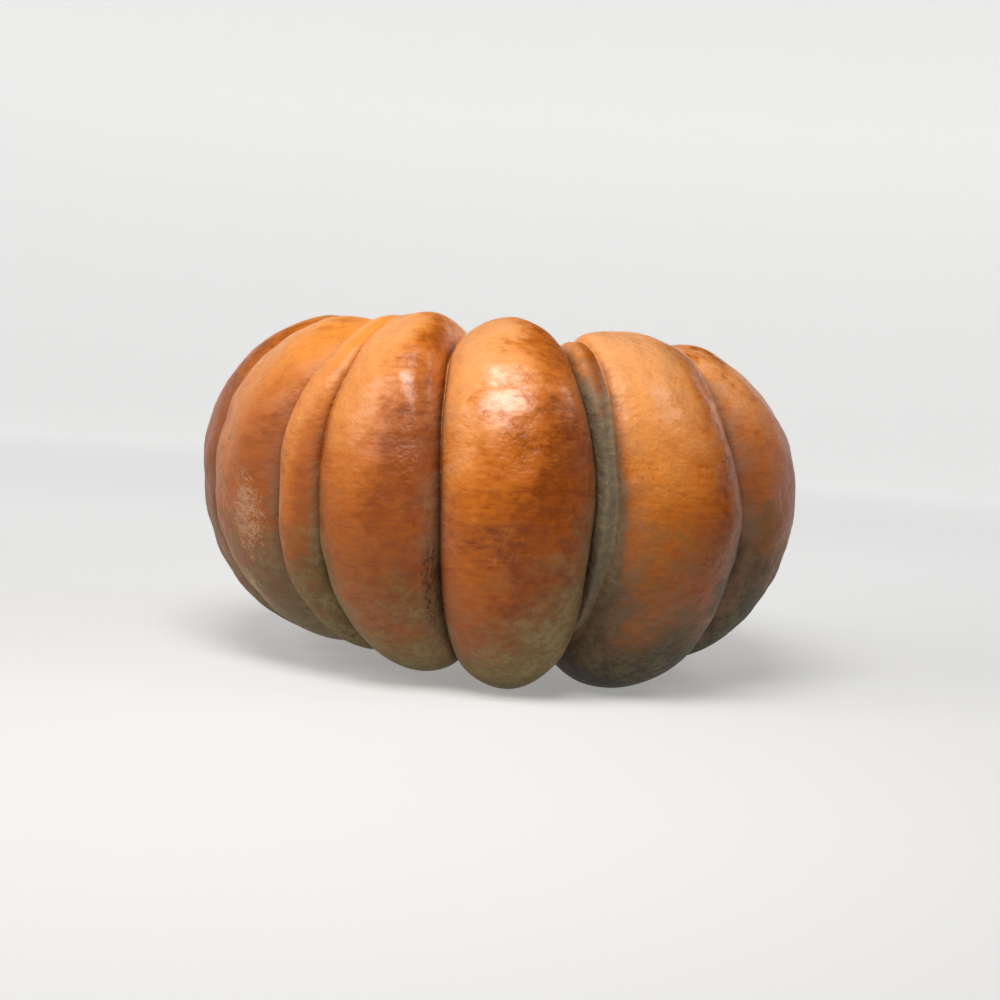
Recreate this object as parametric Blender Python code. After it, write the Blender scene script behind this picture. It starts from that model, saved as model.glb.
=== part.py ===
"""Fairytale pumpkin: a flattened, deeply ribbed squash that stands on its ribs, with a short woody stem.

Run it with: blender --background --python part.py
Metres, +Z up, front on -Y. The origin is on the surface that it rests on, below the middle of its box.
"""

import math
from typing import NamedTuple

import bmesh
import bpy
import numpy as np
from mathutils import Vector, noise

# The fruit: one rib's outline in the plane through the axis, from the stem's seat round to the blossom end
FRUIT_RADIUS = 0.180
FRUIT_HEIGHT = 0.205
EQUATOR_HEIGHT = 0.106
RIM_RADIUS = 0.110
FOOT_RADIUS = 0.096
SEAT_RADIUS = 0.024
SEAT_HEIGHT = 0.146
BLOSSOM_RADIUS = 0.012
BLOSSOM_HEIGHT = 0.030
SHOULDER_FULLNESS = 1.8
HAUNCH_FULLNESS = 1.95

# How far a furrow's outline lies inside its ribs' at the foot, and at the rim unless the rib says otherwise
FURROW_AT_RIM = 0.017
FURROW_AT_FOOT = 0.016

# A rib's cross-section is a superellipse, plumpest at the equator, so neighbours meet in a closed furrow
ROUNDNESS_AT_EQUATOR = 2.2
ROUNDNESS_AT_ENDS = 1.8

# The fruit's weight presses its lowest ribs this far into flat spots
FLAT_DEPTH = 0.0015

# Slow swells and dents of the skin, which fade out at the foot, at the stem and at the blossom end
SWELL_DEPTH = 0.0022
SWELL_LENGTH = 0.060
SWELL_SEED = Vector((15.8, 2.1, 8.7))
SWELL_FULL_HEIGHT = 0.050
SWELL_FULL_RADIUS = 0.070

# The skin's mesh: rings from stem to blossom end, and the rings on which the outline passes its named places
COLUMNS_PER_RIB = 8
RINGS = 36
SEAT_AT = 1 / RINGS
RIM_AT = 9 / RINGS
EQUATOR_AT = 18 / RINGS
FOOT_AT = 27 / RINGS
BLOSSOM_AT = 35 / RINGS

# The stem: a five-angled woody stub that flares onto its seat and was cut off at a slant
STEM_GAP = 0.0003
STEM_LENGTH = 0.042
STEM_BASE_RADIUS = 0.0185
STEM_NECK_RADIUS = 0.0108
STEM_TOP_RADIUS = 0.0128
STEM_ANGLES = 5
STEM_RIDGE_AT_BASE = 0.17
STEM_RIDGE_AT_TOP = 0.11
STEM_TWIST = math.radians(24)
STEM_LEAN = 0.005
STEM_SLANT = 0.16
STEM_SIDES = 40
STEM_RINGS = 14


class Rib(NamedTuple):
    """One rib and the furrow on its left, seen from outside. Angles in degrees, growing to +X."""

    name: str
    furrow: float
    furrow_depth: float
    rim_swing: float = 0.0
    foot_swing: float = 0.0
    rim_drop: float = FURROW_AT_RIM
    reach: float = FRUIT_RADIUS
    top: float = FRUIT_HEIGHT
    foot: float = 0.0
    waist: float = EQUATOR_HEIGHT


RIBS = (
    Rib("far_left", -88, 0.020, top=0.203, foot=0.012, waist=0.114),
    Rib("left", -69, 0.005, rim_drop=0.012, top=0.202, foot=0.014, waist=0.112),
    Rib("left_narrow", -44.5, 0.020, rim_swing=6, foot_swing=1.5, top=0.203, foot=0.014, waist=0.108),
    Rib("front_left", -34.2, 0.010, rim_swing=2, foot_swing=2, rim_drop=0.002, top=0.205, foot=0.006),
    Rib("front", -10.6, 0.020, rim_swing=-4.5, foot_swing=2, rim_drop=0.026, top=0.205),
    Rib("gap", 18.7, 0.025, rim_swing=-4.5, foot_swing=2, rim_drop=0.0165, reach=0.167, top=0.193, foot=0.03),
    Rib("front_right", 21.8, 0.011, rim_swing=-2, foot_swing=1, rim_drop=0.0055, top=0.204),
    Rib("right", 53.4, 0.028, rim_swing=1.5, foot_swing=9.5, top=0.199, foot=0.010, waist=0.108),
    Rib("far_right", 92, 0.026, top=0.192),
    Rib("back_right", 119, 0.026, top=0.188),
    Rib("back_right_narrow", 149, 0.022, reach=0.173, top=0.186, foot=0.006),
    Rib("back", 163, 0.028, top=0.187),
    Rib("back_left", 194, 0.024, top=0.188),
    Rib("back_left_wide", 218, 0.028, top=0.189),
    Rib("left_behind", 246, 0.024, top=0.202, foot=0.007),
)
RIB_VALUES = {field: np.array([getattr(rib, field) for rib in RIBS]) for field in Rib._fields[1:]}

# Where the ribs run out, at the stem and at the blossom end, all are equally wide, from this first furrow on
EVEN_WIDTH = 360 / len(RIBS)
EVEN_START = RIB_VALUES["furrow"].mean() - EVEN_WIDTH * (len(RIBS) - 1) / 2


def ramp(value, start, end):
    """Share of the way from start to end, held at 0 and 1 outside them."""
    return np.clip((value - start) / (end - start), 0, 1)


def ease(share):
    """The same share, with a soft start and end."""
    return share * share * (3 - 2 * share)


def quarter(share, fullness):
    """Runs (0, 1) to (1, 0) on a superellipse as share goes from 0 to 1."""
    angle = share * math.pi / 2
    return np.sin(angle) ** (2 / fullness), np.cos(angle) ** (2 / fullness)


def outline(down, reach, top, foot, waist):
    """Radius and height of a meridian line by the share of the way down it."""
    up_hollow = ramp(down, SEAT_AT, RIM_AT)
    over_shoulder = quarter(ramp(down, RIM_AT, EQUATOR_AT), SHOULDER_FULLNESS)
    under_haunch = quarter(ramp(down, EQUATOR_AT, FOOT_AT), HAUNCH_FULLNESS)
    to_blossom = ramp(down, FOOT_AT, BLOSSOM_AT)
    stages = [down < SEAT_AT, down < RIM_AT, down < EQUATOR_AT, down < FOOT_AT, down < BLOSSOM_AT]
    radius = np.select(
        stages,
        [
            SEAT_RADIUS * ramp(down, 0, SEAT_AT),
            SEAT_RADIUS + (RIM_RADIUS - SEAT_RADIUS) * up_hollow,
            RIM_RADIUS + (reach - RIM_RADIUS) * over_shoulder[0],
            FOOT_RADIUS + (reach - FOOT_RADIUS) * under_haunch[1],
            FOOT_RADIUS + (BLOSSOM_RADIUS - FOOT_RADIUS) * to_blossom,
        ],
        BLOSSOM_RADIUS * (1 - ramp(down, BLOSSOM_AT, 1)),
    )
    height = np.select(
        stages,
        [
            SEAT_HEIGHT,
            SEAT_HEIGHT + (top - SEAT_HEIGHT) * (1 - (1 - up_hollow) ** 2),
            waist + (top - waist) * over_shoulder[1],
            waist + (foot - waist) * under_haunch[0],
            foot + (BLOSSOM_HEIGHT - foot) * to_blossom**2,
        ],
        BLOSSOM_HEIGHT,
    )
    return radius, height


def furrow_line(index, down):
    """Angle, radius and height of the furrow on the left of a rib, inside both ribs that meet in it."""
    here = index % len(RIBS)
    before = (index - 1) % len(RIBS)
    values = RIB_VALUES
    to_rim = np.sin(ramp(down, EQUATOR_AT, RIM_AT) * math.pi / 2) ** 2
    to_foot = np.sin(ramp(down, EQUATOR_AT, FOOT_AT) * math.pi / 2) ** 2
    own = values["furrow"][here] + values["rim_swing"][here] * to_rim + values["foot_swing"][here] * to_foot
    even = EVEN_START + EVEN_WIDTH * here
    evenness = ease(ramp(down, RIM_AT, 0)) + ease(ramp(down, FOOT_AT, 1))
    angle = own + (even - own) * evenness + index // len(RIBS) * 360
    radius, height = outline(
        down,
        FRUIT_RADIUS - values["furrow_depth"][here],
        (values["top"][here] + values["top"][before]) / 2 - values["rim_drop"][here],
        (values["foot"][here] + values["foot"][before]) / 2 + FURROW_AT_FOOT,
        (values["waist"][here] + values["waist"][before]) / 2,
    )
    return angle, radius, height


def rib_surface(index, across, down):
    """Points of a rib's skin. across is -1 at its left furrow and 1 at its right, down is 0 at the stem."""
    left = furrow_line(index, down)
    right = furrow_line(index + 1, down)
    share = (1 + across) / 2
    crown = outline(down, *(RIB_VALUES[field][index] for field in ("reach", "top", "foot", "waist")))
    plumpness = np.sin(ramp(down, SEAT_AT, BLOSSOM_AT) * math.pi) ** 4
    roundness = ROUNDNESS_AT_ENDS + (ROUNDNESS_AT_EQUATOR - ROUNDNESS_AT_ENDS) * plumpness
    swelling = (1 - np.abs(across) ** roundness) ** (1 / roundness)
    angle = np.radians(left[0] + (right[0] - left[0]) * share)
    radius, height = (
        (low + (high - low) * ease(share)) * (1 - swelling) + ridge * swelling
        for low, high, ridge in ((left[1], right[1], crown[0]), (left[2], right[2], crown[1]))
    )
    return np.stack([radius * np.sin(angle), -radius * np.cos(angle), height], axis=-1)


def swell(points):
    """The same points, moved out from or in towards the fruit's middle by slow noise."""
    middle = np.array([0, 0, EQUATOR_HEIGHT])
    outward = points - middle
    outward /= np.linalg.norm(outward, axis=-1, keepdims=True)
    lumps = np.array([noise.noise(Vector(point) / SWELL_LENGTH + SWELL_SEED) for point in points])
    from_axis = np.hypot(points[:, 0], points[:, 1])
    above_foot = ease(ramp(points[:, 2], 0, SWELL_FULL_HEIGHT))
    off_axis = ease(ramp(from_axis, SEAT_RADIUS, SWELL_FULL_RADIUS))
    return points + outward * (2 * SWELL_DEPTH * lumps * above_foot * off_axis)[:, None]


def skin_places(sphere_points):
    """Rib, place across it and share of the way down for each point of a unit sphere."""
    turn = np.arctan2(sphere_points[:, 0], -sphere_points[:, 1]) / (2 * math.pi)
    column = np.rint(turn * len(RIBS) * COLUMNS_PER_RIB).astype(int) % (len(RIBS) * COLUMNS_PER_RIB)
    down = np.rint(np.arccos(np.clip(sphere_points[:, 2], -1, 1)) / math.pi * RINGS) / RINGS
    share = column % COLUMNS_PER_RIB / COLUMNS_PER_RIB
    evenly = 2 * share - 1
    crowded = -np.cos(share * math.pi)
    return column // COLUMNS_PER_RIB, evenly + (crowded - evenly) * np.sin(down * math.pi), down


def new_material(name, colour, roughness):
    """A plain opaque finish."""
    material = bpy.data.materials.new(name)
    material.use_nodes = True
    shader = material.node_tree.nodes["Principled BSDF"]
    shader.inputs["Base Color"].default_value = (*colour, 1)
    shader.inputs["Roughness"].default_value = roughness
    shader.inputs["Metallic"].default_value = 0
    material.diffuse_color = (*colour, 1)
    return material


def new_object(name, bm, material):
    """Turns a finished bmesh into a smooth-shaded object of the scene."""
    mesh = bpy.data.meshes.new(name)
    bm.to_mesh(mesh)
    bm.free()
    mesh.shade_smooth()
    mesh.set_sharp_from_angle(angle=math.radians(50))
    mesh.materials.append(material)
    thing = bpy.data.objects.new(name, mesh)
    bpy.context.scene.collection.objects.link(thing)
    return thing


def build_fruit():
    """The whole fruit: a sphere laid over the ribs, column by column, and cut flat under the lowest ones."""
    bm = bmesh.new()
    bmesh.ops.create_uvsphere(bm, u_segments=len(RIBS) * COLUMNS_PER_RIB, v_segments=RINGS, radius=1)
    places = skin_places(np.array([vertex.co for vertex in bm.verts]))
    for vertex, point in zip(bm.verts, swell(rib_surface(*places))):
        vertex.co = point
        vertex.co.z -= FLAT_DEPTH
    cut = bmesh.ops.bisect_plane(
        bm,
        geom=bm.verts[:] + bm.edges[:] + bm.faces[:],
        plane_co=(0, 0, 0),
        plane_no=(0, 0, 1),
        clear_inner=True,
    )
    rims = [edge for edge in cut["geom_cut"] if isinstance(edge, bmesh.types.BMEdge)]
    bmesh.ops.holes_fill(bm, edges=rims)
    bmesh.ops.recalc_face_normals(bm, faces=bm.faces)
    return new_object("fruit", bm, new_material("ripe_rind", (0.62, 0.26, 0.07), 0.42))


def stem_point(turn, up):
    """Point of the stem's side by its angle and share of the way up: wide at its seat, narrow at its neck."""
    flare = (1 - up) ** 3
    radius = STEM_NECK_RADIUS + (STEM_BASE_RADIUS - STEM_NECK_RADIUS) * flare
    radius += (STEM_TOP_RADIUS - STEM_NECK_RADIUS) * up**2
    ridge = STEM_RIDGE_AT_TOP + (STEM_RIDGE_AT_BASE - STEM_RIDGE_AT_TOP) * flare
    radius *= 1 + ridge * math.cos(STEM_ANGLES * (turn + STEM_TWIST * up))
    x = radius * math.cos(turn) + STEM_LEAN * up * up
    y = radius * math.sin(turn)
    floor = SEAT_HEIGHT - FLAT_DEPTH + STEM_GAP
    return Vector((x, y, floor + (STEM_LENGTH + STEM_SLANT * x) * up))


def build_stem():
    """The woody stub: a drum cut into rings, with each ring's points moved to the stem's ridged outline."""
    bm = bmesh.new()
    bmesh.ops.create_cone(bm, cap_ends=True, segments=STEM_SIDES, radius1=1, radius2=1, depth=1)
    upright = [edge for edge in bm.edges if abs(edge.verts[0].co.z - edge.verts[1].co.z) > 0.5]
    bmesh.ops.subdivide_edges(bm, edges=upright, cuts=STEM_RINGS - 1, use_grid_fill=True)
    for vertex in bm.verts:
        vertex.co = stem_point(math.atan2(vertex.co.y, vertex.co.x), vertex.co.z + 0.5)
    bmesh.ops.recalc_face_normals(bm, faces=bm.faces)
    return new_object("stem", bm, new_material("stem_wood", (0.30, 0.23, 0.13), 0.85))


def main():
    for thing in list(bpy.data.objects):
        bpy.data.objects.remove(thing, do_unlink=True)
    build_fruit()
    build_stem()


if __name__ == "__main__":
    main()
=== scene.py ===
"""Fairytale pumpkin, dressed: the ribbed fruit with its ripe rind, its woody stem, and a pale studio.

It is laid out as a Blender add-on and run as a script. Metres, +Z up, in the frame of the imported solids.
Angles round the fruit start at its front, on -Y, and grow towards +X.
"""

import math
from typing import NamedTuple

import bmesh
import bpy
import numpy as np
from bpy.props import FloatProperty, FloatVectorProperty, IntProperty, PointerProperty
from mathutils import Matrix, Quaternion, Vector, noise


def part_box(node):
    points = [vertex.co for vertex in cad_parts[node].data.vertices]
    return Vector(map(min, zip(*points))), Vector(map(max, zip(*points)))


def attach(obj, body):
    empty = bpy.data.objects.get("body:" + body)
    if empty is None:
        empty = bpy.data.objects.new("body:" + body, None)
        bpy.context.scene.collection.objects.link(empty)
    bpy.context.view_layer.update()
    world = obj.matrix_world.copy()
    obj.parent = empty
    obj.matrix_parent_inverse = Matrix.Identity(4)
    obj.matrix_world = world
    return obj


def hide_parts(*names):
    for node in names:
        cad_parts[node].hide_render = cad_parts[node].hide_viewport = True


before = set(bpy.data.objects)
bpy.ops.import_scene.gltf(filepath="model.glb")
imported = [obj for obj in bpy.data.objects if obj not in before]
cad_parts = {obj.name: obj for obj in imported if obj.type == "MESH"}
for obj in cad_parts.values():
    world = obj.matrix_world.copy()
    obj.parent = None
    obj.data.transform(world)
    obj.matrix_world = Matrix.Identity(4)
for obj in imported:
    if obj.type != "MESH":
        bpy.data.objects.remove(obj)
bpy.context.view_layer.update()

bl_info = {
    "name": "Fairytale Pumpkin",
    "version": (1, 0, 0),
    "blender": (4, 5, 0),
    "location": "View3D > Sidebar > Pumpkin",
    "description": "Models a ribbed fairytale pumpkin with its stem, rind and a plain studio",
    "category": "Add Mesh",
}

# The fruit's outline in the plane through its axis, as in the solid that the skin replaces
FRUIT_RADIUS = 0.180
FRUIT_HEIGHT = 0.205
EQUATOR_HEIGHT = 0.106
RIM_RADIUS = 0.110
FOOT_RADIUS = 0.096
SEAT_RADIUS = 0.024
SEAT_HEIGHT = 0.146
BLOSSOM_RADIUS = 0.012
BLOSSOM_HEIGHT = 0.030
SHOULDER_FULLNESS = 1.8
HAUNCH_FULLNESS = 1.95
FURROW_AT_RIM = 0.017
FURROW_AT_FOOT = 0.016
ROUNDNESS_AT_EQUATOR = 2.2
ROUNDNESS_AT_ENDS = 1.8
FLAT_DEPTH = 0.0015
SWELL_DEPTH = 0.0022
SWELL_LENGTH = 0.060
SWELL_SEED = Vector((15.8, 2.1, 8.7))
SWELL_FULL_HEIGHT = 0.050
SWELL_FULL_RADIUS = 0.070

# Shares of the way from stem to blossom end, in 36ths as on the solid
SEAT_AT = 1 / 36
RIM_AT = 9 / 36
EQUATOR_AT = 18 / 36
FOOT_AT = 27 / 36
BLOSSOM_AT = 35 / 36

# The fine skin's faces: rings from stem to blossom end, columns round it and the fewest of them in a rib
SKIN_RINGS = 252
SKIN_COLUMNS = 388
FEWEST_COLUMNS = 8

# The fine skin's own relief, on top of the solid's swells
LUMP_LENGTH = 0.017
DIMPLE_LENGTH = 0.0065
DIMPLE_SHARE = 0.15
DIMPLE_STRETCH = np.array([1, 1, 1.8])
LUMP_SEED = Vector((4.2, 9.1, 2.6))
WAVER_TURNS = 5.0

# Where a rib's colours start to pass into its neighbour's, and how deep a furrow must be for its dust and
# painted shade to start and to be full
BLEND_FROM = 0.88
SHALLOW_FURROW = 0.008
DEEP_FURROW = 0.028

# The stem: a five-angled stub
STEM_LENGTH = 0.042
STEM_BASE_RADIUS = 0.0185
STEM_NECK_RADIUS = 0.0108
STEM_TOP_RADIUS = 0.0128
STEM_ANGLES = 5
STEM_RIDGE_AT_BASE = 0.17
STEM_RIDGE_AT_TOP = 0.11
STEM_TWIST = math.radians(24)
STEM_LEAN = 0.005
STEM_SLANT = 0.16
STEM_SIDES = 240
STEM_RINGS = 90
STEM_CUT_RIM = 0.0006
STEM_CUT_DIP = 0.0002

# The studio: the camera that sees what the photo shows, and a round floor that bends up into a low wall
CAMERA_PLACE = Vector((0, -1.0, 0.16))
CAMERA_AIM = Vector((0.001, 0, 0.097))
CAMERA_ROLL = math.radians(4)
CAMERA_LENS = 58.8
STUDIO_RADIUS = 3.0
COVE_RADIUS = 1.0
COVE_STEPS = 12
WALL_HEIGHT = 1.6
WALL_SIDES = 64
SEAM_WIDTH = 0.0005
FLOOR_DIMMING = 0.985
FLOOR_GLOW = (0.06, 0.06, 0.06)
WALL_GLOW = (0.58, 0.58, 0.58)

# Sockets of Blender's mix node when it blends colours
MIX_SHARE = 0
MIX_UNDER = 6
MIX_OVER = 7
MIX_RESULT = 2


class Rib(NamedTuple):
    """One rib and the furrow on its left, seen from outside. Angles in degrees.

    The furrow swings by rim_swing at its upper end and by foot_swing at its lower one, and lies rim_drop
    below the tops beside it. The rib's crest has its reach from the axis, and the heights of its top, its
    foot and its waist, where it is widest. green is how far down the crest turns from ripe to green, 0 to 1,
    and lean how much further at its right furrow. deep is how dark the green is and ash how grey. dull is
    how dull and pink the ripe rind is and gold how much lighter.
    """

    furrow: float
    furrow_depth: float
    rim_swing: float = 0.0
    foot_swing: float = 0.0
    rim_drop: float = FURROW_AT_RIM
    reach: float = FRUIT_RADIUS
    top: float = FRUIT_HEIGHT
    foot: float = 0.0
    waist: float = EQUATOR_HEIGHT
    green: float = 0.72
    lean: float = 0.0
    deep: float = 0.3
    ash: float = 0.1
    dull: float = 0.3
    gold: float = 0.0


RIBS = (
    Rib(-88, 0.020, top=0.203, foot=0.012, waist=0.114, green=0.60, dull=0.8),
    Rib(-69, 0.005, rim_drop=0.012, top=0.202, foot=0.014, waist=0.112,
        green=0.60, ash=0.6, dull=0.9, gold=0.5),
    Rib(-44.5, 0.020, rim_swing=6, foot_swing=1.5, top=0.203, foot=0.014, waist=0.108,
        green=0.6, dull=0.8, gold=0.7),
    Rib(-34.2, 0.010, rim_swing=2, foot_swing=2, rim_drop=0.002, top=0.205, foot=0.006,
        green=0.62, deep=0.1, gold=0.08),
    Rib(-10.6, 0.020, rim_swing=-4.5, foot_swing=2, rim_drop=0.026, top=0.205,
        green=0.625, lean=-0.08, dull=0, deep=0),
    Rib(18.7, 0.025, rim_swing=-4.5, foot_swing=2, rim_drop=0.0165, reach=0.167, top=0.193, foot=0.03,
        green=0.38, ash=1),
    Rib(21.8, 0.011, rim_swing=-2, foot_swing=1, rim_drop=0.0055, top=0.204,
        green=0.585, lean=-0.03, deep=1, dull=0, gold=0.22),
    Rib(53.4, 0.028, rim_swing=1.5, foot_swing=9.5, top=0.199, foot=0.01, waist=0.108,
        green=0.55, deep=1, dull=0.6, gold=-0.4),
    Rib(92, 0.026, top=0.192, green=0.52, lean=0.03, deep=0.8),
    Rib(119, 0.026, top=0.188, green=0.60, dull=0.5, gold=0.2),
    Rib(149, 0.022, reach=0.173, top=0.186, foot=0.006, green=0.50, deep=0.6, dull=0.6),
    Rib(163, 0.028, top=0.187, green=0.58, lean=0.03, gold=0.1),
    Rib(194, 0.024, top=0.188, green=0.62, lean=-0.03, deep=0.1),
    Rib(218, 0.028, top=0.189, green=0.55, deep=0.6, dull=0.5, gold=-0.2),
    Rib(246, 0.024, top=0.202, foot=0.007, green=0.61, dull=0.65),
)
RIB_VALUES = {field: np.array([getattr(rib, field) for rib in RIBS]) for field in Rib._fields}
EVEN_WIDTH = 360 / len(RIBS)
EVEN_START = RIB_VALUES["furrow"].mean() - EVEN_WIDTH * (len(RIBS) - 1) / 2


class Mark(NamedTuple):
    """An oval place on the skin that shows a kind of wear: its angle, its height and its size either way."""

    kind: str
    angle: float
    height: float
    half_angle: float
    half_height: float


MARKS = (
    Mark("scuff", -51.5, 0.086, 4.8, 0.029),
    Mark("scuff", -42.6, 0.092, 2.2, 0.030),
    Mark("scuff", -57, 0.044, 5.0, 0.014),
    Mark("scuff", 112, 0.080, 5.0, 0.020),
    Mark("scuff", 205, 0.120, 6.0, 0.018),
    Mark("scratches", 2, 0.080, 3.0, 0.022),
    Mark("scratches", -25, 0.101, 6.0, 0.005),
    Mark("scratches", 42, 0.186, 9.0, 0.010),
    Mark("scratches", 178, 0.090, 6.0, 0.025),
    Mark("cracks", -11.2, 0.058, 1.8, 0.030),
    Mark("cracks", 18.6, 0.070, 1.0, 0.020),
    Mark("cracks", 163, 0.060, 2.0, 0.026),
    Mark("cracks", 247, 0.050, 2.0, 0.020),
)


class Softbox(NamedTuple):
    """A large even light: its name, its place, the point that it shines at, and its width and height."""

    name: str
    place: Vector
    aim: Vector
    size: tuple


KEY_LIGHT = Softbox("key_light", Vector((-0.10, -0.58, 0.82)), Vector((0.01, -0.12, 0.14)), (0.50, 0.40))
FILL_LIGHT = Softbox("fill_light", Vector((-1.15, -0.75, 0.95)), Vector((0, 0, 0.1)), (0.7, 0.7))
SIDE_LIGHT = Softbox("side_light", Vector((0.64, -0.19, 0.74)), Vector((0.08, -0.12, 0.14)), (0.3, 0.3))


def paint(red, green, blue):
    """A colour as a paint chart gives it, 0 to 255 on a screen, turned into the shader's own scale."""
    return tuple(((value / 255 + 0.055) / 1.055) ** 2.4 for value in (red, green, blue))


def ramp(value, start, end):
    """Share of the way from start to end, held at 0 and 1 outside them."""
    return np.clip((value - start) / (end - start), 0, 1)


def ease(share):
    """The same share, with a soft start and end."""
    return share * share * (3 - 2 * share)


def quarter(share, fullness):
    """Runs (0, 1) to (1, 0) on a superellipse as share goes from 0 to 1."""
    angle = share * math.pi / 2
    return np.sin(angle) ** (2 / fullness), np.cos(angle) ** (2 / fullness)


def outline(down, reach, top, foot, waist):
    """Radius and height of a line from stem to blossom end, by the share of the way down it."""
    up_hollow = ramp(down, SEAT_AT, RIM_AT)
    over_shoulder = quarter(ramp(down, RIM_AT, EQUATOR_AT), SHOULDER_FULLNESS)
    under_haunch = quarter(ramp(down, EQUATOR_AT, FOOT_AT), HAUNCH_FULLNESS)
    to_blossom = ramp(down, FOOT_AT, BLOSSOM_AT)
    stages = [down < SEAT_AT, down < RIM_AT, down < EQUATOR_AT, down < FOOT_AT, down < BLOSSOM_AT]
    radius = np.select(
        stages,
        [
            SEAT_RADIUS * ramp(down, 0, SEAT_AT),
            SEAT_RADIUS + (RIM_RADIUS - SEAT_RADIUS) * up_hollow,
            RIM_RADIUS + (reach - RIM_RADIUS) * over_shoulder[0],
            FOOT_RADIUS + (reach - FOOT_RADIUS) * under_haunch[1],
            FOOT_RADIUS + (BLOSSOM_RADIUS - FOOT_RADIUS) * to_blossom,
        ],
        BLOSSOM_RADIUS * (1 - ramp(down, BLOSSOM_AT, 1)),
    )
    height = np.select(
        stages,
        [
            SEAT_HEIGHT,
            SEAT_HEIGHT + (top - SEAT_HEIGHT) * (1 - (1 - up_hollow) ** 2),
            waist + (top - waist) * over_shoulder[1],
            waist + (foot - waist) * under_haunch[0],
            foot + (BLOSSOM_HEIGHT - foot) * to_blossom**2,
        ],
        BLOSSOM_HEIGHT,
    )
    return radius, height


def furrow_line(index, down, waver):
    """Angle, radius and height of the furrow on the left of a rib, inside the two ribs that meet in it."""
    here = index % len(RIBS)
    before = (index - 1) % len(RIBS)
    values = RIB_VALUES
    to_rim = np.sin(ramp(down, EQUATOR_AT, RIM_AT) * math.pi / 2) ** 2
    to_foot = np.sin(ramp(down, EQUATOR_AT, FOOT_AT) * math.pi / 2) ** 2
    own = values["furrow"][here] + values["rim_swing"][here] * to_rim + values["foot_swing"][here] * to_foot
    own = own + waver * np.sin(WAVER_TURNS * math.tau * down + here * here) * np.sin(down * math.pi)
    even = EVEN_START + EVEN_WIDTH * here
    evenness = ease(ramp(down, RIM_AT, 0)) + ease(ramp(down, FOOT_AT, 1))
    angle = own + (even - own) * evenness + index // len(RIBS) * 360
    radius, height = outline(
        down,
        FRUIT_RADIUS - values["furrow_depth"][here],
        (values["top"][here] + values["top"][before]) / 2 - values["rim_drop"][here],
        (values["foot"][here] + values["foot"][before]) / 2 + FURROW_AT_FOOT,
        (values["waist"][here] + values["waist"][before]) / 2,
    )
    return angle, radius, height


def rib_surface(index, across, down, waver):
    """Points of a rib's skin. across is -1 at its left furrow and 1 at its right, down is 0 at the stem."""
    left = furrow_line(index, down, waver)
    right = furrow_line(index + 1, down, waver)
    share = (1 + across) / 2
    crown = outline(down, *(RIB_VALUES[field][index] for field in ("reach", "top", "foot", "waist")))
    plumpness = np.sin(ramp(down, SEAT_AT, BLOSSOM_AT) * math.pi) ** 4
    roundness = ROUNDNESS_AT_ENDS + (ROUNDNESS_AT_EQUATOR - ROUNDNESS_AT_ENDS) * plumpness
    swelling = (1 - np.abs(across) ** roundness) ** (1 / roundness)
    angle = np.radians(left[0] + (right[0] - left[0]) * share)
    radius, height = (
        (low + (high - low) * ease(share)) * (1 - swelling) + ridge * swelling
        for low, high, ridge in ((left[1], right[1], crown[0]), (left[2], right[2], crown[1]))
    )
    return np.stack([radius * np.sin(angle), -radius * np.cos(angle), height], axis=-1)


def cloud_at(points, length, seed):
    """Slow noise, about -1 to 1, at each point, with lumps of the given length."""
    return np.array([noise.noise(Vector(point) / length + seed) for point in points])


def swell(points, lumps):
    """The same points, moved out from or in towards the fruit's middle by slow noise and by small lumps."""
    outward = points - np.array([0, 0, EQUATOR_HEIGHT])
    outward /= np.linalg.norm(outward, axis=-1, keepdims=True)
    from_axis = np.hypot(points[:, 0], points[:, 1])
    above_foot = ease(ramp(points[:, 2], 0, SWELL_FULL_HEIGHT))
    off_axis = ease(ramp(from_axis, SEAT_RADIUS, SWELL_FULL_RADIUS))
    depth = 2 * SWELL_DEPTH * cloud_at(points, SWELL_LENGTH, SWELL_SEED)
    depth += lumps * cloud_at(points, LUMP_LENGTH, LUMP_SEED)
    depth += DIMPLE_SHARE * lumps * cloud_at(points * DIMPLE_STRETCH, DIMPLE_LENGTH, LUMP_SEED)
    return points + outward * (depth * above_foot * off_axis)[:, None]


def column_starts(columns):
    """First column of each rib, and of the rib after the last. Wider ribs get more columns."""
    furrows = RIB_VALUES["furrow"]
    widths = np.diff(np.append(furrows, furrows[0] + 360))
    spare = columns - FEWEST_COLUMNS * len(RIBS)
    return np.concatenate([[0], np.rint(np.cumsum(widths / 360 * spare + FEWEST_COLUMNS)).astype(int)])


def skin_places(sphere_points, columns, rings):
    """Rib, place across it and share of the way down for each point of a unit sphere."""
    starts = column_starts(columns)
    turn = np.arctan2(sphere_points[:, 0], -sphere_points[:, 1]) / math.tau
    column = np.rint(turn * columns).astype(int) % columns
    down = np.rint(np.arccos(np.clip(sphere_points[:, 2], -1, 1)) / math.pi * rings) / rings
    index = np.searchsorted(starts, column, side="right") - 1
    share = (column - starts[index]) / (starts[index + 1] - starts[index])
    evenly = 2 * share - 1
    crowded = -np.cos(share * math.pi)
    return index, evenly + (crowded - evenly) * np.sin(down * math.pi), down


def mark_strength(points, kind):
    """How strongly a kind of wear may show at each point, 0 to 1."""
    angle = np.degrees(np.arctan2(points[:, 0], -points[:, 1]))
    strength = np.zeros(len(points))
    for mark in MARKS:
        if mark.kind == kind:
            sideways = ((angle - mark.angle + 180) % 360 - 180) / mark.half_angle
            upward = (points[:, 2] - mark.height) / mark.half_height
            strength = np.maximum(strength, 1 - sideways**2 - upward**2)
    return strength


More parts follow.
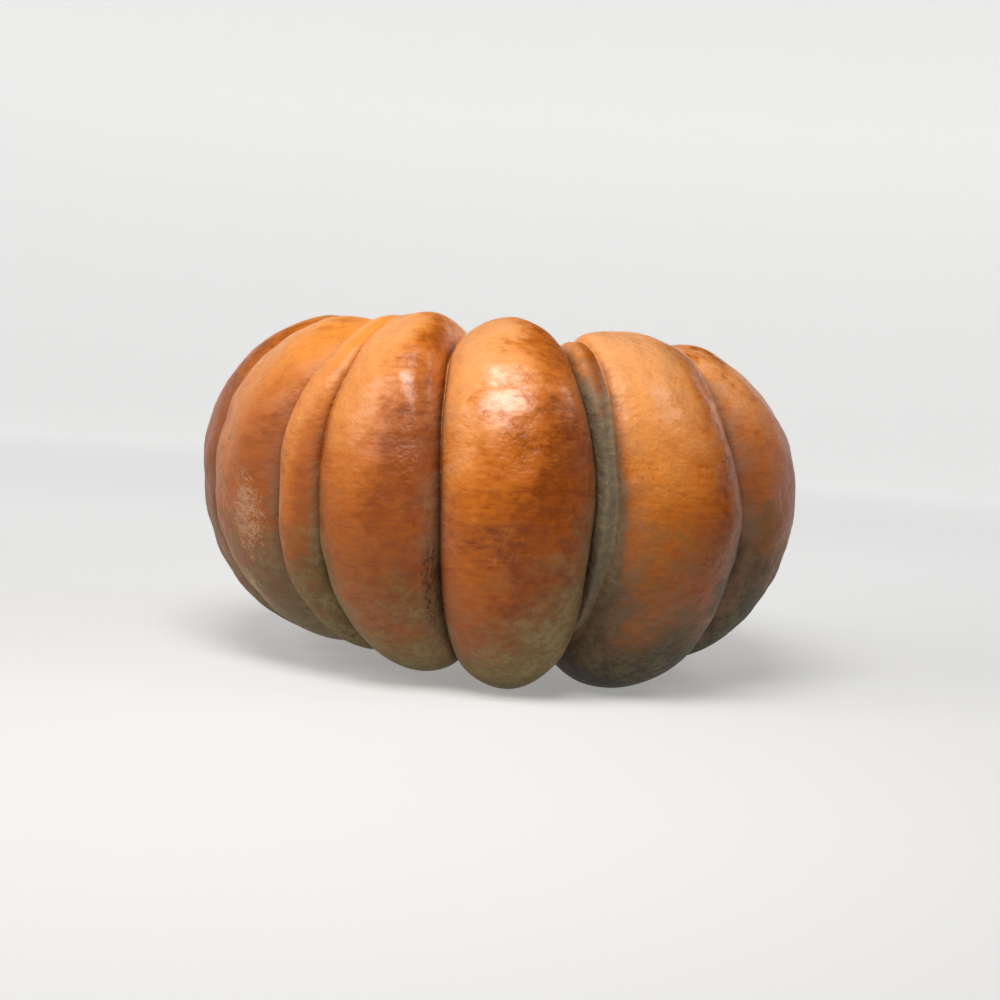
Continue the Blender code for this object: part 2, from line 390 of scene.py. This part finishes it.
class Signal:
    """What comes out of one socket of a finish. Sums and products of signals add the nodes that give them."""

    def __init__(self, finish, socket):
        self.finish = finish
        self.socket = socket

    def math(self, operation, *values):
        return self.finish.add("ShaderNodeMath", {"operation": operation}, dict(enumerate(values)))

    def __add__(self, other):
        return self.math("ADD", self, other)

    __radd__ = __add__

    def __sub__(self, other):
        return self.math("SUBTRACT", self, other)

    def __rsub__(self, other):
        return self.math("SUBTRACT", other, self)

    def __mul__(self, other):
        return self.math("MULTIPLY", self, other)

    __rmul__ = __mul__

    def __pow__(self, power):
        return self.math("POWER", self, power)

    def away(self, middle):
        """How far the signal is from a value, either way."""
        return self.math("ABSOLUTE", self - middle)

    def rise(self, start, end):
        """0 below start and 1 above end, with a soft run between them."""
        values = {"Value": self, "From Min": start, "From Max": end}
        return self.finish.add("ShaderNodeMapRange", {"interpolation_type": "SMOOTHSTEP"}, values)


class Finish:
    """A material in the making: its nodes, and the shader that they end in."""

    def __init__(self, name, **shader_values):
        self.material = bpy.data.materials.new(name)
        self.material.use_nodes = True
        self.tree = self.material.node_tree
        self.shader = self.tree.nodes["Principled BSDF"]
        for socket, value in shader_values.items():
            self.shader.inputs[socket.replace("_", " ")].default_value = value
        self.place = self.add("ShaderNodeTexCoord", output="Object")

    def add(self, kind, settings=None, inputs=None, output=0):
        """Adds a node, with its settings first and then its inputs, which are values or signals."""
        node = self.tree.nodes.new(kind)
        for name, value in (settings or {}).items():
            setattr(node, name, value)
        for name, value in (inputs or {}).items():
            if isinstance(value, Signal):
                self.tree.links.new(value.socket, node.inputs[name])
            else:
                node.inputs[name].default_value = value
        return Signal(self, node.outputs[output])

    def send(self, **signals):
        """Links signals to the shader's sockets."""
        for socket, signal in signals.items():
            self.tree.links.new(signal.socket, self.shader.inputs[socket.replace("_", " ")])

    def attribute(self, name):
        """The number that write_layer kept for each vertex."""
        return self.add("ShaderNodeAttribute", {"attribute_name": name}, output="Fac")

    def mapped(self, stretch=(1, 1, 1), turn=(0, 0, 0), shift=(0, 0, 0)):
        """The place on the piece, for a pattern that is stretched, then turned, then moved."""
        values = {"Vector": self.place, "Location": shift, "Rotation": turn, "Scale": stretch}
        return self.add("ShaderNodeMapping", {"vector_type": "TEXTURE"}, values)

    def cloud(self, length, detail=3.0, rough=0.5, bend=0.0, **mapping):
        """Soft noise, 0 to 1, whose patches are about as long as given."""
        values = {
            "Vector": self.mapped(**mapping),
            "Scale": 1 / length,
            "Detail": detail,
            "Roughness": rough,
            "Distortion": bend,
        }
        return self.add("ShaderNodeTexNoise", None, values)

    def cells(self, length, **mapping):
        """Distance from the nearest of many scattered points, in steps of the given length."""
        values = {"Vector": self.mapped(**mapping), "Scale": 1 / length}
        return self.add("ShaderNodeTexVoronoi", None, values, output="Distance")

    def blend(self, share, under, over):
        """Lays the colour over upon the colour under, by a share from 0 to 1."""
        values = {MIX_SHARE: share}
        for socket, colour in ((MIX_UNDER, under), (MIX_OVER, over)):
            values[socket] = colour if isinstance(colour, Signal) else (*colour, 1.0)
        return self.add("ShaderNodeMix", {"data_type": "RGBA"}, values, output=MIX_RESULT)

    def bump(self, height, depth, under=None):
        """Relief of the given depth, in metres, laid over another relief."""
        values = {"Height": height, "Distance": depth, "Strength": 1.0}
        if under:
            values["Normal"] = under
        return self.add("ShaderNodeBump", None, values)


def rind_finish(look):
    """Ripe rind: mottled orange and brown with painted shade and light, dusty beside furrows, grey-green at
    the feet.
    """
    rind = Finish("ripe_rind", Specular_IOR_Level=0.25, IOR=1.45, Coat_IOR=1.6, Coat_Roughness=0.25)
    down = rind.attribute("down")
    across = rind.attribute("across")
    leftward = 0 - across
    beside = across.away(0)
    furrow = rind.attribute("furrow_depth")
    dull = rind.attribute("dull")

    patches = rind.cloud(0.040, detail=3, bend=0.2, stretch=(1, 1, 0.8))
    blotches = rind.cloud(0.016, detail=2, bend=0.2, stretch=(1, 1, 0.75), shift=(3, 1, 7))
    dimples = rind.cloud(0.0085, detail=2, stretch=(1, 1, 0.8), shift=(2, 6, 1))
    flecks = rind.cloud(0.0045, detail=3, rough=0.6, stretch=(1, 1, 0.8), shift=(9, 2, 4))
    streaks = rind.cloud(0.012, detail=3, rough=0.65, stretch=(1, 1, 0.16), shift=(5, 5, 5))
    grain = rind.cloud(0.0014, detail=2, rough=0.6)
    patchy = patches - 0.5
    blotchy = blotches - 0.5
    flecked = flecks - 0.5
    grainy = grain - 0.5

    # The ripe rind: darker towards the foot, partly its own browner colour and partly painted shade;
    # painted shade on the right of each rib and painted light on its left; peach on its shoulder, partly
    # painted light
    mottle = patchy * 0.9 + blotchy * 1.0 + flecked * 0.7 + (streaks - 0.5) * 0.7
    lower = down.rise(0.34, 0.54)
    # Painted shade on the right of each rib, with less of it high on the shoulder
    right = across.rise(-0.2, 0.6) * (0.3 + down.rise(0.20, 0.32) * 0.7)
    # Painted light on the left of each rib, away from its furrow
    lit_side = leftward.rise(0.0, 0.8) * (1 - beside.rise(0.85, 1.0))
    shade = lower * 0.75 + right * (0.5 + lower * 0.5) - lit_side * 0.25
    tone = 0.95 + rind.attribute("gold") - shade + mottle
    # Burnt where the tone is low and golden where it is high: the tone holds the painted shade and light as
    # well as the mottle
    ripe = rind.blend(tone.rise(-0.1, 0.6), look.burnt, look.ripe)
    ripe = rind.blend(tone.rise(0.4, 1.2), ripe, look.golden)
    pale = tone + (dimples - 0.5) * 0.9 + flecked * 0.6
    # Peach on the upper shoulders, kept off each rib's shaded right: partly the rind's paler shoulder, partly
    # painted light
    ripe = rind.blend((1 - down.rise(0.28, 0.50)) * pale.rise(0.2, 1.2) * (1 - right), ripe, look.peach)
    ripe = rind.blend(dull * down.rise(0.30, 0.45) * (0.35 + blotches.rise(0.3, 0.7) * 0.3), ripe, look.dull)

    # The green, unripe foot, from a ragged line down, and a little green in the crown
    wander = patchy * 0.16 + blotchy * 0.12 + flecked * 0.12 + grainy * 0.03
    past_line = down - rind.attribute("green_line") + beside**5 * 0.10 + wander
    ripe = rind.blend(past_line.rise(-0.18, 0.0) * 0.75, ripe, look.burnt)
    unripe = past_line.rise(-0.09, 0.07)
    deep = rind.attribute("deep")
    ash = rind.attribute("ash")
    green = rind.blend(past_line.rise(-0.06, 0.04) * deep, look.green, look.deep_green)
    green = rind.blend(ash, green, look.ashen)
    mossy = (blotches * 0.3 + flecks * 0.45 + grain * 0.25).rise(0.44, 0.60) * (0.6 - deep * 0.3)
    green = rind.blend(mossy, green, look.moss)
    # Paler moss along each rib's left edge in the green: partly dusty bloom, partly painted light on the lit
    # left side
    green = rind.blend(leftward.rise(0.70, 0.95) * (1 - deep) * (0.2 + flecks * 0.6), green, look.moss)
    freckled = (dimples * 0.45 + flecks * 0.3 + streaks * 0.25).rise(0.34, 0.70)
    ripe = rind.blend(freckled * (0.12 + down.rise(0.30, 0.50) * 0.3), ripe, look.ripe)
    skin = rind.blend(unripe, ripe, green)
    crown = 1 - (down + flecked * 0.1).rise(0.02, 0.11)
    skin = rind.blend(crown * 0.55, skin, look.green)

    # Dust beside the furrows, and painted shade deep in them
    dust = beside.rise(0.60, 0.97) * (0.3 + blotches.rise(0.35, 0.62) * 0.7) * down.rise(0.26, 0.42)
    dust = dust * (0.4 + furrow * 0.6) * (0.7 + flecks * 0.6)
    skin = rind.blend(dust * 0.6, skin, look.bloom)
    # Painted shade: darker deep in each furrow, the more so the deeper the furrow
    skin = rind.blend(beside.rise(0.88, 1.0) * furrow * 0.75, skin, look.furrow)

    # Wear: rubbed places, scratches, corky cracks and dark specks
    brush = rind.cloud(0.004, detail=3, rough=0.7, stretch=(1.4, 1.4, 0.7), turn=(0, math.radians(30), 0))
    rubbed = rind.attribute("scuff")
    scuffs = (rubbed + (brush - 0.5) * 2.6 + grainy * 3.0).rise(0.2, 1.3) * rubbed.rise(0.0, 0.3)
    skin = rind.blend(scuffs * 0.46, skin, look.scuff)
    lines = rind.cloud(0.0020, detail=1, stretch=(0.6, 0.6, 30), turn=(0, math.radians(24), 0))
    scratches = rind.attribute("scratches").rise(0.0, 0.6) * lines.rise(0.56, 0.72)
    skin = rind.blend(scratches * 0.08, skin, look.scuff)
    corky = rind.attribute("cracks")
    veins = rind.cloud(0.005, detail=3, rough=0.6, stretch=(0.7, 0.7, 3.2), shift=(1, 8, 3)).away(0.5)
    cracks = corky.rise(0.0, 0.6) * (1 - veins.rise(0.0, 0.06)) * grain.rise(0.3, 0.6)
    skin = rind.blend(corky.rise(0.0, 0.8) * flecks.rise(0.4, 0.6) * 0.4, skin, look.furrow)
    skin = rind.blend(cracks * 0.8, skin, look.crack)
    specks = (grain * 0.5 + flecks * 0.5).rise(0.45, 0.75) * down.rise(0.25, 0.5)
    skin = rind.blend(specks * 0.3, skin, look.burnt)

    # How rough the skin is, where its wax shines, and its finest relief
    shine = 0.32 + unripe * 0.2 + dull * 0.1 + dust * 0.3 + scuffs * 0.25
    shine = shine + blotchy * 0.2 + flecked * 0.2
    waxed = 0.25 + (blotches + flecks).rise(0.85, 1.15) * 0.75
    polish = waxed * (1 - down.rise(0.38, 0.50)) * (1 - beside.rise(0.75, 0.95)) * (1 - dull) * (1 - ash)
    pores = rind.cells(0.0022).rise(0.0, 0.35)
    relief = rind.bump(blotches * 0.5 + flecks * 0.4 + dimples * 0.6, 0.0019)
    relief = rind.bump(streaks, 0.00018, relief)
    relief = rind.bump(grain * 0.6 + pores * 0.3 - cracks * 4 + scratches, 0.00012, relief)
    rind.send(Base_Color=skin, Roughness=shine, Coat_Weight=polish, Normal=relief)
    return rind.material


def stem_finish(look):
    """Dry stem wood: grey-brown and green-grey, with long fibres, painted shade between its ridges, and a
    pale cut end.
    """
    wood = Finish("stem_wood", Roughness=0.85, IOR=1.45)
    cut = wood.attribute("cut_end")
    shaded_hollow = wood.attribute("between_ridges")
    fibres = wood.cloud(0.0022, detail=4, rough=0.6, stretch=(1, 1, 8))
    patches = wood.cloud(0.012, detail=3, stretch=(1, 1, 1.7))
    warts = wood.cells(0.0035, stretch=(1, 1, 1.4)).rise(0.1, 0.5)
    bark = wood.blend(patches.rise(0.4, 0.62), look.bark, look.green_bark)
    bark = wood.blend(fibres.rise(0.45, 0.70) * 0.7, bark, look.straw)
    # Painted shade: darker in the hollows between the ridges
    bark = wood.blend(shaded_hollow * 0.45, bark, look.groove_shade)
    rings = wood.cloud(0.0016, detail=3, rough=0.7)
    pith = wood.blend(rings.rise(0.35, 0.65), look.cut, look.straw)
    colour = wood.blend(cut, bark, pith)
    relief = wood.bump(fibres * 0.8 + warts * 0.3, 0.0007)
    relief = wood.bump(rings, 0.0003, relief)
    wood.send(Base_Color=colour, Normal=relief)
    return wood.material


def studio_finish(colour):
    """Matt white of the studio's floor and wall, which glows more the further it is behind the fruit."""
    studio = Finish("studio_white", Roughness=0.9, Emission_Strength=1.0)
    tone = studio.cloud(0.9, detail=1)
    behind = studio.add("ShaderNodeSeparateXYZ", None, {"Vector": studio.place}, output="Y")
    glow = studio.blend(behind.rise(-1.0, 1.0), FLOOR_GLOW, WALL_GLOW)
    darker = tuple(FLOOR_DIMMING * value for value in colour)
    studio.send(Base_Color=studio.blend(tone, colour, darker), Emission_Color=glow)
    return studio.material


class PumpkinFruit(bpy.types.PropertyGroup):
    """Size and skin of the fruit"""

    radius: FloatProperty(
        name="Radius",
        description="From the axis to the outside of a full rib",
        default=FRUIT_RADIUS,
        unit="LENGTH",
    )
    height: FloatProperty(
        name="Height",
        description="From the floor to the top of a full rib",
        default=FRUIT_HEIGHT,
        unit="LENGTH",
    )
    lumps: FloatProperty(
        name="Lumps",
        description="Height of the small lumps and dimples of the skin",
        default=0.0012,
        unit="LENGTH",
    )
    waver: FloatProperty(
        name="Furrow waver",
        description="How far a furrow swings from side to side, in degrees",
        default=0.3,
    )
    columns: IntProperty(name="Columns", description="Faces round the fruit", default=SKIN_COLUMNS, min=150)
    rings: IntProperty(name="Rings", description="Faces from stem to blossom end", default=SKIN_RINGS, min=36)


def tint(name, description, red, green, blue):
    """A colour that a user may change."""
    return FloatVectorProperty(
        name=name,
        description=description,
        default=paint(red, green, blue),
        subtype="COLOR",
        size=3,
        min=0,
        max=1,
    )


def lamp_power(name, description, watts):
    """A light's power that a user may change."""
    return FloatProperty(name=name, description=description, default=watts, unit="POWER")


class RindLook(bpy.types.PropertyGroup):
    """Colours of the rind"""

    ripe: tint("Ripe", "Main colour of the ripe rind", 190, 100, 22)
    # Golden also carries the painted light on the left of each rib
    golden: tint("Golden", "Lighter patches of the ripe rind", 238, 148, 60)
    # Burnt also carries the painted shade towards the foot and on the right of each rib
    burnt: tint("Burnt", "Browner patches of the ripe rind", 122, 54, 6)
    # Peach: the paler shoulders, partly painted light
    peach: tint("Peach", "Tone of the shoulders", 246, 170, 108)
    dull: tint("Dull", "Pinkish tone of the duller ribs", 202, 122, 74)
    green: tint("Green", "Unripe olive near the feet", 108, 88, 42)
    deep_green: tint("Deep green", "Darkest unripe rind", 38, 38, 20)
    ashen: tint("Ashen", "Grey unripe rind of the duller ribs", 104, 92, 74)
    moss: tint("Moss", "Lighter flecks of the unripe rind", 144, 128, 88)
    bloom: tint("Bloom", "Dusty wax beside the furrows", 146, 106, 86)
    # Furrow: painted shade deep in the furrows, and the dark brown round the corky cracks
    furrow: tint("Furrow", "Grime deep in the furrows", 58, 42, 28)
    scuff: tint("Scuff", "Dry, pale rubbed skin", 212, 180, 142)
    crack: tint("Crack", "Dark corky cracks", 40, 24, 14)


class StemLook(bpy.types.PropertyGroup):
    """Colours of the stem"""

    bark: tint("Bark", "Dry outside of the stem", 126, 104, 72)
    green_bark: tint("Green bark", "Patches that stayed green", 98, 98, 66)
    straw: tint("Straw", "Pale fibres", 178, 154, 112)
    # Painted shade in the hollows between the ridges
    groove_shade: tint("Groove", "Dark hollows between the ridges", 66, 52, 36)
    cut: tint("Cut", "Pale cut end", 206, 186, 146)


class StudioLook(bpy.types.PropertyGroup):
    """Floor and lights of the studio"""

    floor: tint("Floor", "Colour of floor and backdrop", 214, 213, 211)
    key_power: lamp_power("Key", "Power of the light overhead", 7.0)
    fill_power: lamp_power("Fill", "Power of the light at the left", 5.6)
    side_power: lamp_power("Side", "Power of the light at the right", 0.8)
    sky: FloatProperty(name="Sky", description="Strength of the even light from all round", default=0.05)


def new_piece(name, bm, material, node):
    """Makes a finished bmesh a piece on the only body, which replaces a solid and takes a material slot."""
    mesh = bpy.data.meshes.new(name)
    bm.to_mesh(mesh)
    bm.free()
    mesh.shade_smooth()
    mesh.materials.append(material)
    piece = bpy.data.objects.new(name, mesh)
    bpy.context.scene.collection.objects.link(piece)
    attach(piece, "root")
    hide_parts(node)


def blend_over(values, index, across):
    """Each rib's value, passing evenly into its neighbour's beside the furrow between them."""
    beside = values[(index + np.sign(across).astype(int)) % len(RIBS)]
    share = ramp(np.abs(across), BLEND_FROM, 1) ** 2 / 2
    return values[index] + (beside - values[index]) * share


def write_layer(bm, name, values):
    """Keeps a number for each vertex, which the finish reads by its name."""
    layer = bm.verts.layers.float.new(name)
    for vertex, value in zip(bm.verts, values):
        vertex[layer] = value


class MESH_OT_pumpkin_fruit(bpy.types.Operator):
    """Add the ribbed fruit with its ripe rind"""

    bl_idname = "mesh.pumpkin_fruit"
    bl_label = "Add Fruit"

    def execute(self, context):
        shape = context.scene.pumpkin_fruit
        bm = bmesh.new()
        bmesh.ops.create_uvsphere(bm, u_segments=shape.columns, v_segments=shape.rings, radius=1)
        sphere_points = np.array([vertex.co for vertex in bm.verts])
        index, across, down = skin_places(sphere_points, shape.columns, shape.rings)
        points = swell(rib_surface(index, across, down, shape.waver), shape.lumps)
        points[:, 2] -= FLAT_DEPTH
        for kind in ("scuff", "scratches", "cracks"):
            write_layer(bm, kind, mark_strength(points, kind))
        write_layer(bm, "down", down)
        write_layer(bm, "across", across)
        # How much dust and painted shade each point gets from the depth of its nearest furrow
        nearest_furrow = RIB_VALUES["furrow_depth"][(index + (across > 0)) % len(RIBS)]
        write_layer(bm, "furrow_depth", ramp(nearest_furrow, SHALLOW_FURROW, DEEP_FURROW))
        green_line = blend_over(RIB_VALUES["green"], index, across) + RIB_VALUES["lean"][index] * across
        write_layer(bm, "green_line", green_line)
        for field in ("deep", "ash", "dull", "gold"):
            write_layer(bm, field, blend_over(RIB_VALUES[field], index, across))
        wider = shape.radius / FRUIT_RADIUS
        points *= np.array([wider, wider, shape.height / FRUIT_HEIGHT])
        for vertex, point in zip(bm.verts, points):
            vertex.co = point
        cut = bmesh.ops.bisect_plane(
            bm,
            geom=bm.verts[:] + bm.edges[:] + bm.faces[:],
            plane_co=(0, 0, 0),
            plane_no=(0, 0, 1),
            clear_inner=True,
        )
        rims = [edge for edge in cut["geom_cut"] if isinstance(edge, bmesh.types.BMEdge)]
        bmesh.ops.holes_fill(bm, edges=rims)
        bmesh.ops.recalc_face_normals(bm, faces=bm.faces)
        new_piece("fruit_skin", bm, rind_finish(context.scene.rind_look), "fruit")
        return {"FINISHED"}


def stem_point(turn, up, floor):
    """Point of the stem's side, by its angle and the share of the way up from its wide seat."""
    flare = (1 - up) ** 3
    radius = STEM_NECK_RADIUS + (STEM_BASE_RADIUS - STEM_NECK_RADIUS) * flare
    radius += (STEM_TOP_RADIUS - STEM_NECK_RADIUS) * up**2
    ridge = STEM_RIDGE_AT_TOP + (STEM_RIDGE_AT_BASE - STEM_RIDGE_AT_TOP) * flare
    radius *= 1 + ridge * math.cos(STEM_ANGLES * (turn + STEM_TWIST * up))
    x = radius * math.cos(turn) + STEM_LEAN * up * up
    y = radius * math.sin(turn)
    return Vector((x, y, floor + (STEM_LENGTH + STEM_SLANT * x) * up))


class MESH_OT_pumpkin_stem(bpy.types.Operator):
    """Add the woody stem in the crown"""

    bl_idname = "mesh.pumpkin_stem"
    bl_label = "Add Stem"

    def execute(self, context):
        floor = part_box("stem")[0].z
        bm = bmesh.new()
        bmesh.ops.create_cone(bm, cap_ends=True, segments=STEM_SIDES, radius1=1, radius2=1, depth=1)
        ends = [face for face in bm.faces if len(face.verts) > 4]
        upright = [edge for edge in bm.edges if abs(edge.verts[0].co.z - edge.verts[1].co.z) > 0.5]
        bmesh.ops.subdivide_edges(bm, edges=upright, cuts=STEM_RINGS - 1, use_grid_fill=True)
        turns = [math.atan2(vertex.co.y, vertex.co.x) for vertex in bm.verts]
        ups = [vertex.co.z + 0.5 for vertex in bm.verts]
        ridges = [math.cos(STEM_ANGLES * (turn + STEM_TWIST * up)) for turn, up in zip(turns, ups)]
        write_layer(bm, "between_ridges", [0.5 - 0.5 * ridge for ridge in ridges])
        write_layer(bm, "cut_end", np.zeros(len(bm.verts)))
        for vertex, turn, up in zip(bm.verts, turns, ups):
            vertex.co = stem_point(turn, up, floor)
        cut_end = bm.verts.layers.float["cut_end"]
        for face in ends:
            if face.calc_center_median().z > floor + STEM_LENGTH / 2:
                bmesh.ops.inset_individual(bm, faces=[face], thickness=STEM_CUT_RIM, depth=-STEM_CUT_DIP)
                for vertex in face.verts:
                    vertex[cut_end] = 1
        bmesh.ops.recalc_face_normals(bm, faces=bm.faces)
        new_piece("stem_stub", bm, stem_finish(context.scene.stem_look), "stem")
        return {"FINISHED"}


def add_backdrop(colour):
    """A round white floor whose edge bends up into a low wall."""
    bm = bmesh.new()
    profile = [bm.verts.new((0, 0, 0)), bm.verts.new((STUDIO_RADIUS, 0, 0))]
    bm.edges.new(profile)
    bmesh.ops.spin(
        bm,
        geom=[profile[1]],
        cent=(STUDIO_RADIUS, 0, COVE_RADIUS),
        axis=(0, -1, 0),
        angle=math.pi / 2,
        steps=COVE_STEPS,
    )
    bm.verts.ensure_lookup_table()
    last = max(bm.verts, key=lambda vertex: vertex.co.z)
    rise = bmesh.ops.extrude_vert_indiv(bm, verts=[last])
    rise["verts"][0].co.z += WALL_HEIGHT - COVE_RADIUS
    bmesh.ops.spin(
        bm,
        geom=bm.verts[:] + bm.edges[:],
        cent=(0, 0, 0),
        axis=(0, 0, 1),
        angle=math.tau,
        steps=WALL_SIDES,
        use_merge=True,
    )
    bmesh.ops.remove_doubles(bm, verts=bm.verts, dist=SEAM_WIDTH)
    bmesh.ops.recalc_face_normals(bm, faces=bm.faces)
    mesh = bpy.data.meshes.new("studio_floor")
    bm.to_mesh(mesh)
    bm.free()
    mesh.shade_smooth()
    mesh.materials.append(studio_finish(colour))
    floor = bpy.data.objects.new("studio_floor", mesh)
    bpy.context.scene.collection.objects.link(floor)


def add_softbox(softbox, power):
    """Puts a softbox up with the given power."""
    light = bpy.data.lights.new(softbox.name, "AREA")
    light.shape = "RECTANGLE"
    light.size, light.size_y = softbox.size
    light.energy = power
    lamp = bpy.data.objects.new(softbox.name, light)
    lamp.location = softbox.place
    lamp.rotation_mode = "QUATERNION"
    lamp.rotation_quaternion = (softbox.aim - softbox.place).to_track_quat("-Z", "Y")
    bpy.context.scene.collection.objects.link(lamp)


class SCENE_OT_pumpkin_studio(bpy.types.Operator):
    """Add the pale studio with its camera and lights"""

    bl_idname = "scene.pumpkin_studio"
    bl_label = "Add Studio"

    def execute(self, context):
        look = context.scene.studio_look
        add_backdrop(look.floor)
        add_softbox(KEY_LIGHT, look.key_power)
        add_softbox(FILL_LIGHT, look.fill_power)
        add_softbox(SIDE_LIGHT, look.side_power)
        camera_data = bpy.data.cameras.new("camera")
        camera_data.lens = CAMERA_LENS
        camera = bpy.data.objects.new("camera", camera_data)
        camera.location = CAMERA_PLACE
        camera.rotation_mode = "QUATERNION"
        aim = (CAMERA_AIM - CAMERA_PLACE).to_track_quat("-Z", "Y")
        camera.rotation_quaternion = aim @ Quaternion((0, 0, 1), CAMERA_ROLL)
        context.scene.collection.objects.link(camera)
        context.scene.camera = camera
        world = bpy.data.worlds.new("studio_air")
        world.use_nodes = True
        air = world.node_tree.nodes["Background"]
        air.inputs["Color"].default_value = (1, 1, 1, 1)
        air.inputs["Strength"].default_value = look.sky
        context.scene.world = world
        context.scene.view_settings.view_transform = "Standard"
        return {"FINISHED"}


class VIEW3D_PT_pumpkin(bpy.types.Panel):
    """Lists the pumpkin's operators and their settings"""

    bl_label = "Fairytale Pumpkin"
    bl_idname = "VIEW3D_PT_pumpkin"
    bl_space_type = "VIEW_3D"
    bl_region_type = "UI"
    bl_category = "Pumpkin"

    def draw(self, context):
        scene = context.scene
        groups = (
            (MESH_OT_pumpkin_fruit, (scene.pumpkin_fruit, scene.rind_look)),
            (MESH_OT_pumpkin_stem, (scene.stem_look,)),
            (SCENE_OT_pumpkin_studio, (scene.studio_look,)),
        )
        for operator, settings in groups:
            box = self.layout.box()
            box.operator(operator.bl_idname)
            for group in settings:
                for name in group.__annotations__:
                    box.prop(group, name)


CLASSES = (
    PumpkinFruit,
    RindLook,
    StemLook,
    StudioLook,
    MESH_OT_pumpkin_fruit,
    MESH_OT_pumpkin_stem,
    SCENE_OT_pumpkin_studio,
    VIEW3D_PT_pumpkin,
)
GROUPS = {
    "pumpkin_fruit": PumpkinFruit,
    "rind_look": RindLook,
    "stem_look": StemLook,
    "studio_look": StudioLook,
}


def register():
    for kind in CLASSES:
        bpy.utils.register_class(kind)
    for name, group in GROUPS.items():
        setattr(bpy.types.Scene, name, PointerProperty(type=group))


def unregister():
    for name in GROUPS:
        delattr(bpy.types.Scene, name)
    for kind in reversed(CLASSES):
        bpy.utils.unregister_class(kind)


def main():
    register()
    bpy.ops.mesh.pumpkin_fruit()
    bpy.ops.mesh.pumpkin_stem()
    bpy.ops.scene.pumpkin_studio()


if __name__ == "__main__":
    main()
